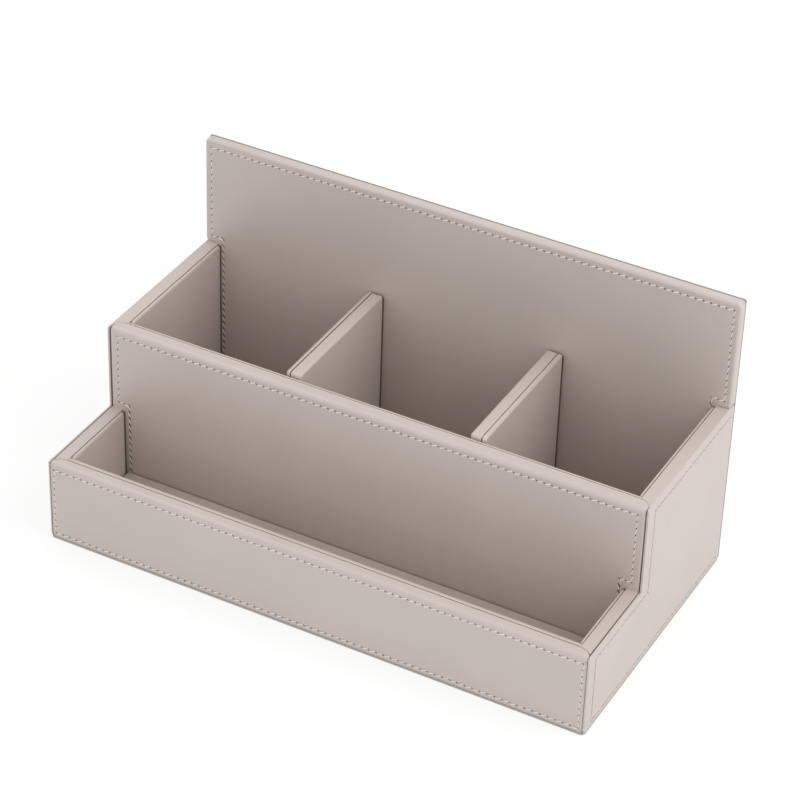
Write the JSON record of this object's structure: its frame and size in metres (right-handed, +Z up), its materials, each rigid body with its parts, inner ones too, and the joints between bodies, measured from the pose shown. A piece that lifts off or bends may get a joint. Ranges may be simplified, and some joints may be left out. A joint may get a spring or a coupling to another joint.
{
  "type": "desk organizer",
  "caption": "Stepped desk organizer of leather-covered boards: low pen tray in front, divided compartments behind a riser, tall back panel.",
  "frame": {"origin": "middle of the footprint, on the surface that the organizer stands on", "axes": "+X along the width, to the right of someone facing the tray; +Y from the tray to the back panel; +Z up"},
  "size_m": [0.286, 0.15, 0.15],
  "materials": {
    "outer_leather": "satin",
    "lining_leather": "satin",
    "edge_leather": "satin",
    "fibreboard": "matte",
    "base_microfibre": "matte"
  },
  "bodies": {
    "root": {"base_board": "fibreboard", "base_cover": "base_microfibre", "front_board": "fibreboard", "riser_board": "fibreboard", "right_side_board": "fibreboard", "left_side_board": "fibreboard", "back_board": "fibreboard", "front_outer_skin": "outer_leather", "riser_front_skin": "outer_leather", "back_front_skin": "outer_leather", "back_rear_skin": "outer_leather", "right_side_skin": "outer_leather", "left_side_skin": "outer_leather", "right_tray_edge_strip": "edge_leather", "left_tray_edge_strip": "edge_leather", "front_inner_lining": "lining_leather", "riser_rear_lining": "lining_leather", "right_tray_lining": "lining_leather", "left_tray_lining": "lining_leather", "right_compartment_lining": "lining_leather", "left_compartment_lining": "lining_leather", "left_divider_board": "fibreboard", "left_divider_wrap": "outer_leather", "left_divider_lining": "lining_leather", "right_divider_board": "fibreboard", "right_divider_wrap": "outer_leather", "right_divider_lining": "lining_leather", "tray_floor_lining": "lining_leather", "left_floor_lining": "lining_leather", "centre_floor_lining": "lining_leather", "right_floor_lining": "lining_leather"}
  },
  "joints": []
}
